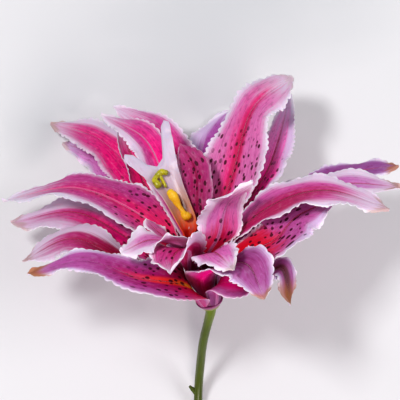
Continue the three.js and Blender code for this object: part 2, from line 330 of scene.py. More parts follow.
def closed_tube(rings: Array, radii: Array, along: Array) -> Skin:
    """Joins rings of points into a tube and closes both ends.

    Args:
        rings: The points, ring by ring.
        radii: A radius for each ring and each side, or one for each ring.
        along: The length up to each ring.

    Returns:
        The closed skin. Its span holds shares round it and along it, its place millimetres.
    """
    rows, sides = rings.shape[:2]
    faces = grid_quads(rows, sides, closed=True)[:, ::-1].tolist()
    faces += [list(range(sides))[::-1], list(range((rows - 1) * sides, rows * sides))]
    turn, grid = turns(sides), np.ones((rows, sides))
    span = np.stack([grid * turn / math.pi - 1, np.linspace(0, 1, rows)[:, None] * grid, grid], -1)
    place = np.stack([radii * turn, along[:, None] * grid, 0 * grid], -1)
    return Skin(rings.reshape(-1, 3), faces, place.reshape(-1, 3), span.reshape(-1, 3))


def round_tube(line: Array, radii: Array) -> Skin:
    """Carries a circle along a line and closes both ends.

    Each ring's first direction is the one before it, laid square to the line again.

    Args:
        line: Centres along the tube.
        radii: A radius for each centre and each side.

    Returns:
        The closed skin.
    """
    forward = unit(np.gradient(line, axis=0))
    side = np.zeros_like(line)
    first = np.array([1.0, 0.0, 0.0]) if abs(forward[0][0]) < 0.9 else np.array([0.0, 1.0, 0.0])
    for i, way in enumerate(forward):
        first = first - (first @ way) * way
        first /= np.linalg.norm(first)
        side[i] = first
    up = np.cross(forward, side)
    turn = turns(radii.shape[1])
    ring = side[:, None] * np.cos(turn)[:, None] + up[:, None] * np.sin(turn)[:, None]
    return closed_tube(line[:, None] + ring * radii[..., None], radii, travelled(line))


def joined(skins: list[Skin]) -> Skin:
    """Puts several skins into one.

    Args:
        skins: The skins.

    Returns:
        The whole.
    """
    starts = np.cumsum([0] + [len(skin.points) for skin in skins])
    faces = [[p + start for p in face] for skin, start in zip(skins, starts) for face in skin.faces]
    values = [np.concatenate([getattr(skin, f) for skin in skins]) for f in ("points", "place", "span")]
    return Skin(values[0], faces, values[1], values[2])


# ---- finishes


def linear(rgb: Rgb) -> tuple[float, float, float, float]:
    """Turns a colour of 0 to 255 for the screen into the linear one that shaders use."""
    return *((c / 255 / 12.92 if c < 11 else ((c / 255 + 0.055) / 1.055) ** 2.4) for c in rgb), 1.0


class Paintbox:
    """Adds nodes to a shader tree. A value may be a number, a colour or another node's socket."""

    def __init__(self, tree: Tree) -> None:
        """Starts on a tree."""
        self.tree = tree

    def plug(self, socket: Socket, value: Any) -> None:
        """Links a socket to another, or sets its own value."""
        if isinstance(value, Socket):
            self.tree.links.new(value, socket)
        else:
            socket.default_value = value

    def node(self, kind: str, inputs: dict[Any, Any] | None = None, **settings: Any) -> bpy.types.Node:
        """Adds a node.

        Args:
            kind: Its type, without the words ShaderNode.
            inputs: Values by the name or number of the socket.
            settings: The node's own properties.

        Returns:
            The new node.
        """
        made = self.tree.nodes.new(f"ShaderNode{kind}")
        for name, value in settings.items():
            setattr(made, name, value)
        for name, value in (inputs or {}).items():
            self.plug(made.inputs[name], value)
        return made

    def math(self, operation: str, *values: Any) -> Socket:
        """Works out one number from others."""
        return self.node("Math", dict(enumerate(values)), operation=operation).outputs[0]

    def times(self, a: Any, b: Any) -> Socket:
        """Multiplies two numbers."""
        return self.math("MULTIPLY", a, b)

    def minus(self, a: Any, b: Any) -> Socket:
        """Takes the second number from the first."""
        return self.math("SUBTRACT", a, b)

    def plus(self, a: Any, *parts: tuple[float, Any]) -> Socket:
        """Adds shares of other numbers to a number."""
        for share, value in parts:
            a = self.math("MULTIPLY_ADD", value, share, a)
        return a

    def split(self, vector: Any) -> bpy.types.NodeOutputs:
        """Takes a vector apart."""
        return self.node("SeparateXYZ", {0: vector}).outputs

    def length(self, x: Any, y: Any, z: Any) -> Socket:
        """Gives the length of the vector of three numbers."""
        return self.node("VectorMath", {0: self.vector(x, y, z)}, operation="LENGTH").outputs["Value"]

    def fade(self, x: Any, low: Any, high: Any) -> Socket:
        """Rises smoothly from 0 where x is low to 1 where it is high. High may be the smaller one."""
        sockets = {"Value": x, "From Min": low, "From Max": high}
        return self.node("MapRange", sockets, interpolation_type="SMOOTHSTEP").outputs[0]

    def edge(self, x: Any, at: Any, low: float, high: float) -> Socket:
        """Fades as above, with low and high counted from a place."""
        return self.fade(x, self.math("ADD", at, low), self.math("ADD", at, high))

    def mix(self, share: Any, first: Any, second: Any) -> Socket:
        """Mixes two colours."""
        return self.node("Mix", {0: share, 6: first, 7: second}, data_type="RGBA").outputs[2]

    def vector(self, x: Any, y: Any, z: Any) -> Socket:
        """Joins three numbers into a vector."""
        return self.node("CombineXYZ", {0: x, 1: y, 2: z}).outputs[0]

    def noise(self, at: Any, detail: float = 2.0, scale: float = 1.0) -> Socket:
        """Gives smooth noise from about -0.5 to 0.5 at a place."""
        made = self.node("TexNoise", {"Vector": at, "Scale": scale, "Detail": detail})
        return self.math("SUBTRACT", made.outputs[0], 0.5)


def new_group(name: str, inputs: dict[str, Any], outputs: dict[str, str]) -> Tree:
    """Makes an empty shader node group.

    Args:
        name: The group's name.
        inputs: The sockets that go in: a number, a colour of four numbers or a vector of three by name.
        outputs: The kinds of the sockets that come out, by name.

    Returns:
        The group, with its input and output nodes.
    """
    group = bpy.data.node_groups.new(name, "ShaderNodeTree")
    for label, value in inputs.items():
        kind = {4: "NodeSocketColor", 3: "NodeSocketVector"}.get(np.size(value), "NodeSocketFloat")
        socket = group.interface.new_socket(name=label, in_out="INPUT", socket_type=kind)
        socket.default_value = value
    for label, kind in outputs.items():
        group.interface.new_socket(name=label, in_out="OUTPUT", socket_type=f"NodeSocket{kind}")
    group.nodes.new("NodeGroupInput")
    group.nodes.new("NodeGroupOutput")
    return group


@dataclass(frozen=True)
class FacePaint:
    """The paint of one face of a tepal.

    Colours are given as the screen shows them. Widths are shares of the half width and reaches are shares of
    the length, except for edge_width and rib_width, which are in millimetres. The heart is partly the deeper
    colour of the root and partly a painted glow of light shining through it, and where dark it is painted shade.
    The glow is a painted patch of light shining through the tepal.
    """

    body: Rgb = (196, 86, 150)
    core: Rgb = (214, 22, 112)
    rim: Rgb = (226, 208, 228)
    heart: Rgb = (198, 14, 36)
    rib: Rgb = (190, 20, 80)
    glow: Rgb = (236, 24, 150)
    core_width: float = 0.45
    core_reach: float = 0.85
    core_side: float = 0.0
    rim_width: float = 0.22
    rim_side: float = 0.0
    edge_width: float = 1.6
    tip_start: float = 0.86
    heart_reach: float = 0.24
    rib_width: float = 0.7
    rib_reach: float = 0.9
    spots: float = 0.6
    spots_from: float = 0.16
    spots_to: float = 0.62
    nectar: float = 0.0
    tan: float = 0.0
    tan_reach: float = 0.045
    glow_along: float = 0.0
    glow_across: float = 0.0
    glow_size: float = 0.0

    def sockets(self) -> dict[str, Any]:
        """Lists the values by the names of the group's sockets, with the colours made linear."""
        values = {f.name.replace("_", " ").title(): getattr(self, f.name) for f in fields(self)}
        return {name: linear(v) if isinstance(v, tuple) else v for name, v in values.items()}


class Hue(Enum):
    """The colours that the paints of all tepals share."""

    STREAK = (150, 4, 86)
    VEIN = (118, 4, 76)
    MOTTLE = (124, 6, 70)
    # painted shade in the midrib's groove
    FURROW = (124, 4, 56)
    NECTAR = (244, 172, 40)
    SPOT = (70, 0, 30)
    EDGE = (240, 232, 242)
    DRIED = (170, 104, 52)


def face_paint_group() -> Tree:
    """Builds the group that paints one face of a tepal.

    It lays the core stripe, the pale rim and tip, the red heart (partly painted glow of light through the root,
    painted shade where dark), the rib with painted shade in its furrow, a painted glow of light shining through,
    the spots and the tan of the tip over the body colour. Their edges follow streaks that run along the tepal.

    Returns:
        The node group, with a colour, a roughness and a height in millimetres as outputs.
    """
    coordinates = {"Across": 0.0, "Along": 0.0, "Place": (0.0, 0.0, 0.0)}
    group = new_group(
        "tepal_face_paint",
        {**coordinates, **FacePaint().sockets()},
        {"Color": "Color", "Roughness": "Float", "Height": "Float"},
    )
    box = Paintbox(group)
    take = group.nodes["Group Input"].outputs
    give = group.nodes["Group Output"].inputs
    t, s = take["Across"], take["Along"]
    spread = box.math("ABSOLUTE", t)
    x, y, seed = box.split(take["Place"])
    off_rib = box.math("ABSOLUTE", x)
    color = take["Body"]

    def strands(across: float, along: float, detail: float = 2.0) -> Socket:
        """Gives noise drawn out along the tepal."""
        return box.noise(box.vector(box.times(t, across), box.times(s, along), seed), detail)

    def lay(mask: Any, share: Any, paint: Any) -> None:
        """Lays a share of a paint over the colour so far, where the mask lets it."""
        nonlocal color
        color = box.mix(box.times(mask, share), color, linear(paint.value) if isinstance(paint, Hue) else paint)

    cloud = strands(2.4, 3.0)
    streak = strands(13, 4.5, 4.0)
    vein = strands(46, 7.0, 3.0)
    mottle = box.noise(box.vector(box.times(x, 0.7), box.times(y, 0.32), seed), 3.0)

    off_core = box.math("ABSOLUTE", box.minus(t, take["Core Side"]))
    core = box.edge(box.plus(off_core, (0.55, streak), (0.35, cloud)), take["Core Width"], 0.3, -0.25)
    lay(core, box.edge(box.plus(s, (0.35, streak), (0.15, spread)), take["Core Reach"], 0.14, -0.22), take["Core"])
    lay(box.fade(streak, 0.0, 0.3), 0.3, Hue.STREAK)
    lay(box.fade(streak, 0.0, -0.3), 0.12, take["Rim"])
    lay(box.fade(vein, 0.02, 0.22), 0.42, Hue.VEIN)
    lay(box.fade(mottle, 0.03, 0.2), 0.35, Hue.MOTTLE)
    lay(box.fade(mottle, -0.03, -0.2), 0.1, take["Rim"])

    grow = box.math("MULTIPLY_ADD", box.fade(s, 0.3, 0.95), 1.7, 0.35)
    lopsided = box.math("MULTIPLY_ADD", t, take["Rim Side"], 1.0)
    start = box.minus(1.0, box.times(take["Rim Width"], box.times(grow, lopsided)))
    rim = box.edge(box.plus(spread, (0.4, streak), (0.22, cloud), (0.15, vein)), start, -0.16, 0.2)
    tip = box.edge(box.plus(s, (0.25, streak), (0.12, cloud), (0.1, vein)), take["Tip Start"], -0.06, 0.16)
    pale = box.math("MAXIMUM", rim, tip)
    lay(pale, 0.9, take["Rim"])
    # The heart: partly the root's deeper colour, partly a painted glow of light shining through; dark hearts are
    # painted shade.
    heart = box.plus(s, (0.2, streak), (0.1, cloud), (0.12, spread))
    lay(box.edge(heart, take["Heart Reach"], 0.14, -0.12), 0.92, take["Heart"])

    ribbed = box.edge(box.plus(s, (0.2, cloud)), take["Rib Reach"], 0.1, -0.15)
    rib = box.fade(off_rib, take["Rib Width"], box.times(take["Rib Width"], 0.4))
    lay(box.times(rib, ribbed), 0.8, take["Rib"])
    # A darker line in the midrib's furrow: painted shade in the groove.
    furrow = box.times(box.fade(off_rib, 0.5, 0.1), ribbed)
    lay(furrow, 0.42, Hue.FURROW)
    # A painted glow: a soft patch of light shining through the tepal.
    off_glow = box.length(
        box.times(box.minus(s, take["Glow Along"]), 2.6), box.minus(t, take["Glow Across"]), box.times(streak, 0.5)
    )
    lay(box.fade(off_glow, take["Glow Size"], 0.0), box.fade(take["Glow Size"], 0.0, 0.1), take["Glow"])
    lay(box.times(box.fade(off_rib, 2.4, 0.6), box.fade(s, 0.36, 0.22)), take["Nectar"], Hue.NECTAR)

    across_cells = box.plus(box.times(x, 0.37), (3.1, seed), (0.5, cloud))
    along_cells = box.plus(box.times(y, 0.21), (0.8, cloud))
    sockets = {"Vector": box.vector(across_cells, along_cells, 0.0), "Scale": 1.0, "Randomness": 0.9}
    cells = box.node("TexVoronoi", sockets, voronoi_dimensions="2D")
    draw = box.node("SeparateColor", {0: cells.outputs["Color"]}).outputs
    size = box.math("MULTIPLY_ADD", draw[0], 0.14, 0.13)
    dot = box.edge(box.plus(cells.outputs["Distance"], (0.12, vein)), size, 0.06, -0.03)
    for mask in (
        box.math("LESS_THAN", draw[1], take["Spots"]),
        box.edge(box.plus(s, (0.12, draw[2])), take["Spots From"], 0.0, 0.1),
        box.edge(box.plus(s, (0.16, draw[2]), (0.1, spread)), take["Spots To"], 0.14, 0.0),
        box.fade(spread, 0.9, 0.78),
    ):
        dot = box.times(dot, mask)
    lay(dot, 0.93, Hue.SPOT)

    half_width = box.math("DIVIDE", off_rib, box.math("MAXIMUM", spread, 0.02))
    to_margin = box.plus(box.minus(half_width, off_rib), (2.6, streak), (1.6, vein))
    crisp = box.times(box.fade(to_margin, take["Edge Width"], 0.4), box.fade(s, 0.2, 0.36))
    lay(crisp, box.math("MULTIPLY_ADD", box.fade(box.plus(cloud, (0.4, streak)), -0.2, 0.15), 0.5, 0.45), Hue.EDGE)
    dried = box.plus(s, (0.1, cloud), (0.08, streak), (0.03, spread))
    reach = take["Tan Reach"]
    lay(box.fade(dried, box.minus(1.0, reach), box.minus(1.0, box.times(reach, 0.3))), take["Tan"], Hue.DRIED)

    box.plug(give["Color"], color)
    box.plug(give["Roughness"], box.plus(0.46, (0.1, pale), (0.12, cloud), (-0.06, dot)))
    box.plug(give["Height"], box.plus(box.times(streak, 0.2), (0.2, vein), (0.2, dot), (-0.2, furrow)))
    return group


class Finish(Paintbox):
    """A new material, for a skin that carries a place and a span."""

    def __init__(self, name: str) -> None:
        """Makes the material with its shader."""
        self.made = bpy.data.materials.new(name)
        self.made.use_nodes = True
        super().__init__(self.made.node_tree)

    def read(self, name: str) -> Socket:
        """Reads a value that the skin carries."""
        return self.node("Attribute", attribute_name=name).outputs["Vector"]

    def done(self, sockets: dict[str, Any]) -> bpy.types.Material:
        """Gives the shader's sockets their links and constants, and hands over the material."""
        for name, value in sockets.items():
            self.plug(self.tree.nodes["Principled BSDF"].inputs[name], value)
        return self.made


@dataclass(frozen=True)
class TepalFinish:
    """The finish of a tepal: the paint of its two faces."""

    inner: FacePaint
    outer: FacePaint

    def material(self, name: str, group: Tree) -> bpy.types.Material:
        """Builds the material.

        Args:
            name: Its name.
            group: The group that paints a face.

        Returns:
            The new material, which reads the blade's place and span.
        """
        box = Finish(name)
        across, along, face = box.split(box.read("span"))
        coordinates = {"Across": across, "Along": along, "Place": box.read("place")}
        sides = []
        for paint in (self.outer, self.inner):
            sides.append(box.node("Group", {**coordinates, **paint.sockets()}, node_tree=group).outputs)
        inward = box.math("GREATER_THAN", face, 0.5)
        rough, height = (
            box.node("Mix", {0: inward, 2: sides[0][label], 3: sides[1][label]}).outputs[0]
            for label in ("Roughness", "Height")
        )
        bump = box.node("Bump", {"Height": height, "Distance": MM, "Strength": 0.95})
        return box.done({
            "Base Color": box.mix(inward, sides[0]["Color"], sides[1]["Color"]),
            "Roughness": rough,
            "Normal": bump.outputs[0],
            "Specular IOR Level": 0.22,
            "Subsurface Weight": 0.15,
            "Subsurface Radius": (1.0, 0.3, 0.55),
            "Subsurface Scale": 0.8 * MM,
        })  # fmt: skip


# How much the grain of a fleshy piece shifts its colours, frays its painted light spots and changes its roughness
SHIFTED, FRAYED, ROUGHENED = 0.14, 0.1, 0.2
LIGHT_SPOT_ACROSS = 0.16  # how much a distance across the piece counts against one along it, for a painted light spot
LIGHT_SPOT_CORE = 0.25  # share of a painted light spot's reach that has its full colour


@dataclass(frozen=True)
class Tissue:
    """The finish of a fleshy piece: colours from its root to its tip, mottled and softly glossy.

    Each of its spots of shade and light is a soft spot of painted shade, glow or highlight: its share along
    the piece, its place across it, its reach as a share of the length, and the colour.
    """

    name: str
    ramp: tuple[tuple[float, Rgb], ...]
    mottle: Rgb
    mottled: float = 0.35
    grain: float = 0.9
    drawn: float = 0.25
    roughness: float = 0.4
    relief: float = 0.15
    subsurface: float = 0.2
    specular: float = 0.4
    coat: float = 0.0
    stains: tuple[tuple[float, float, float, Rgb], ...] = ()

    def material(self) -> bpy.types.Material:
        """Builds the material, which reads the piece's span for the ramp and its place for the mottling."""
        box = Finish(self.name)
        across, along, _ = box.split(box.read("span"))
        sizes = (self.grain, self.grain * self.drawn, self.grain)
        stretched = box.node("VectorMath", {0: box.read("place"), 1: sizes}, operation="MULTIPLY")
        grain = box.noise(stretched.outputs[0], 3.0)
        ramp = box.node("ValToRGB", {0: box.plus(along, (SHIFTED, grain))})
        stops = ramp.color_ramp.elements
        for _ in self.ramp[2:]:
            stops.new(0.5)
        for stop, (share, rgb) in zip(stops, self.ramp):
            stop.position, stop.color = share, linear(rgb)
        mottled = box.times(box.fade(grain, 0.0, 0.25), self.mottled)
        color = box.mix(mottled, ramp.outputs[0], linear(self.mottle))
        for share, place_across, reach, rgb in self.stains:
            sideways = box.times(box.minus(across, place_across), LIGHT_SPOT_ACROSS)
            off = box.length(box.minus(along, share), sideways, box.times(grain, FRAYED))
            color = box.mix(box.fade(off, reach, LIGHT_SPOT_CORE * reach), color, linear(rgb))
        height = box.times(grain, self.relief)
        return box.done({
            "Base Color": color,
            "Roughness": box.plus(self.roughness, (ROUGHENED, grain)),
            "Normal": box.node("Bump", {"Height": height, "Distance": MM}).outputs[0],
            "Specular IOR Level": self.specular,
            "Subsurface Weight": self.subsurface,
            "Subsurface Radius": (1.0, 0.5, 0.3),
            "Subsurface Scale": 1.5 * MM,
            "Coat Weight": self.coat,
            "Coat Roughness": 0.2,
        })  # fmt: skip


# ---- the tepals

# Forms that all the tepals share, in millimetres and in shares of the length
LENGTH_STEPS = 208
WIDTH_STEPS = 34
PACKING = (1.25, 0.1)  # how the rows gather towards the tip, and the columns at the margins and the midrib
SEED_STEP = 7.3  # how far apart the tepals lie in the noise of their paint
CLOSING = 0.75  # where a blade starts to close towards its tip
ROUNDING = 2.5  # how round it closes
LEAST_HALF = 0.45  # half width of the tip itself
PHASES = (2.4, 1.7)  # phase of the ruffle from tepal to tepal, and from one margin to the other
FREE = (0.3, 0.7)  # where the margins come free
FRILLED = (0.2, 0.42)  # where the frill sets in
CRIMPS = ((0.7, 2.6), (0.4, 1.5))  # height and length of the short waves of a margin
SCALLOP = 3.1  # length of a scallop
WANDER = (1.6, 9)  # how far the scallops wander, in radians, and over what length
DEPTH = (0.9, 0.6, 5)  # their depth, how much it changes and over what length
GAP, DEEPEST = 1.1, 1.8  # how deep the gaps between them are cut, and the most of it
CREASE = (0.55, 2.2)  # depth and half width of the crease along the middle
THICKNESS = (0.38, 0.26)  # half of it at the midrib and how much less it is at the margins
KEEL = (0.5, 1.3)  # height and half width of the keel outside
GROOVE = (0.2, 0.5)  # depth and half width of the groove inside

HOT = FacePaint(body=(208, 40, 138), core=(228, 0, 116), core_width=0.6, rim_width=0.2)
PINK = FacePaint(body=(204, 66, 142), core=(214, 10, 104), rim_width=0.14)
LILAC = FacePaint(
    body=(172, 72, 156), core=(164, 24, 120), rim=(218, 196, 228), rim_width=0.14, spots=0.2, heart=(176, 8, 80)
)
PALE = FacePaint(body=(214, 112, 176), core=(204, 52, 138), rim=(234, 216, 234), rim_width=0.3, spots=0.15)
BACK = FacePaint(
    body=(184, 92, 160), core=(172, 36, 126), rim=(222, 200, 228), heart=(190, 26, 116), rib=(204, 120, 176),
    core_width=0.35, rim_width=0.3, rib_width=1.2, spots=0.0, heart_reach=0.16,
)  # fmt: skip


@dataclass(frozen=True)
class Tepal:
    """One tepal: where it grows, the form of its blade and its finish. Its ring and side give its name.

    seat is its bearing on the receptacle. path holds its middle, shoulder and tip as x, y and rise along the
    axis. half is the half width at the middle and shoulder, and claw that at the root and throat. blunt is
    0.5 for a long point and 1 for a round end. cup says how far the margins bend up at the throat, middle,
    shoulder and tip, in degrees, and roll how far the blade turns about its length there. lift is how much
    more the left and right margins curl. wave is the height of the ruffle and the waves along a margin.
    """

    side: str
    ring: Ring
    seat: float
    half: tuple[float, float]
    blunt: float
    path: tuple[Point, Point, Point]
    inner: FacePaint
    outer: FacePaint = BACK
    claw: tuple[float, float] | None = None
    throat: tuple[float, float] | None = None
    cup: tuple[float, ...] | None = None
    roll: tuple[float, ...] = (0, 0, 0, 0)
    lift: tuple[float, float] = (0, 0)
    wave: tuple[float, float] = (1.4, 5)
    frill: float = 1.0

    def margin(self, seed: int, s: Array, length: Array) -> tuple[Array, Array]:
        """Draws the frill of one margin: short waves, and the gaps between scallops.

        Args:
            seed: Seed of its noise.
            s: Shares of the length, one for each row.
            length: The length up to each row.

        Returns:
            The height of the waves and the depth of the gaps at each row.
        """
        waves = sum(high * ripple(s, length[-1] / each, seed + k) for k, (high, each) in enumerate(CRIMPS))
        turn = math.pi * length / SCALLOP + WANDER[0] * ripple(s, length[-1] / WANDER[1], seed + 2)
        depth = DEPTH[0] + DEPTH[1] * ripple(s, length[-1] / DEPTH[2], seed + 3)
        return waves, (1 - np.abs(np.sin(turn))) ** 1.3 * depth

    def middle(self, index: int, s: Array, t: Array) -> tuple[Array, Array, Array]:
        """Works out the middle surface.

        At share s of its length the blade's section is an arc across the middle line, of the half width there
        and bent by the cup. A slow sine wave ruffles the margins. The finer waves stay close to the margin, and
        the gaps between its scallops are cut out of the width.

        Args:
            index: Number of the tepal, which sets the phase of its waves.
            s: Shares of the length, one for each row.
            t: Places across it, -1 and 1 at the margins.

        Returns:
            The surface as a grid of points, the half width at each of them and the length up to each row.
        """
        root, throat, claw = self.ring.value
        throat, claw = self.throat or throat, self.claw or claw
        seats = [around_axis(out, self.seat, rise) for out, rise in (root, throat)]
        points = np.array([*seats, *(from_above(*p) for p in self.path)])
        centre, _, across, inward = spine_frames(points, (0, *self.roll), s)
        length = travelled(centre)
        wrap = [math.degrees(claw[0] / root[0]), math.degrees(claw[1] / throat[0])]
        cup = through((wrap[0], *(self.cup or (wrap[1], 15, 0, -10))), s)
        beyond = np.maximum(0, s - CLOSING) / (1 - CLOSING)
        width = through((*claw, *self.half, self.half[1] * self.blunt), s) * (1 - beyond**ROUNDING)
        width = np.maximum(LEAST_HALF, width)[:, None]
        free, loose = smooth(*FREE, s)[:, None], smooth(*FRILLED, s)[:, None] * self.frill
        right, out = (t > 0)[None, :], np.abs(t)[None, :]
        bend = np.radians(cup[:, None] + free * np.where(right, self.lift[1], self.lift[0]))
        bend = np.where(np.abs(bend) < 1e-6, 1e-6, bend)
        phase = index * PHASES[0] + np.where(right, 0.0, PHASES[1])
        ruffle = self.wave[0] * free * out**2.5 * np.sin(2 * math.pi * self.wave[1] * s[:, None] + phase)
        sides = [self.margin(100 * index + 10 * side, s, length) for side in (0, 1)]
        waves, gaps = (np.where(right, b[:, None], a[:, None]) for a, b in zip(*sides))
        ruffle = ruffle + loose * out**7 * waves
        wide = width - np.clip(GAP * loose * out**8 * gaps, 0, DEEPEST) * smooth(0.5, 4, width)
        sideways, lifted = arc(wide, bend, t)
        crease = CREASE[0] * (smooth(0.1, 0.35, s) * smooth(1, 0.8, s))[:, None]
        lifted = lifted + ruffle - crease * np.exp(-((width * t / CREASE[1]) ** 2))
        return over_line(centre, across, inward, sideways, lifted), wide, length

    def skin(self, index: int) -> Skin:
        """Builds the blade: thick along its midrib, thin at its margins, with a keel on its outer face.

        Args:
            index: Number of the tepal.

        Returns:
            The closed skin.
        """
        s = 1 - (1 - np.linspace(0, 1, LENGTH_STEPS + 1)) ** PACKING[0]
        even = np.linspace(-1, 1, WIDTH_STEPS + 1)
        t = even - PACKING[1] * np.sin(2 * math.pi * even)
        grid, wide, length = self.middle(index, s, t)
        x = wide * t
        half = THICKNESS[0] - THICKNESS[1] * np.abs(t)[None, :] ** 3 + 0 * x
        keel = KEEL[0] * np.exp(-((x / KEEL[1]) ** 2)) * (smooth(1, 0.3, s) * smooth(0, 0.1, s))[:, None]
        groove = GROOVE[0] * np.exp(-((x / GROOVE[1]) ** 2)) * smooth(1, 0.8, s)[:, None]
        return thin_blade(grid, half - groove, half + keel, s, t, x, length, SEED_STEP * index)

    def build(self, index: int, group: Tree) -> None:
        """Makes the piece and dresses it."""
        node = f"{self.ring.name.lower()}_tepal_{self.side}"
        material = TepalFinish(self.inner, self.outer).material(f"{node}_finish", group)
        self.skin(index).piece(node, Slot.TEPAL, material)
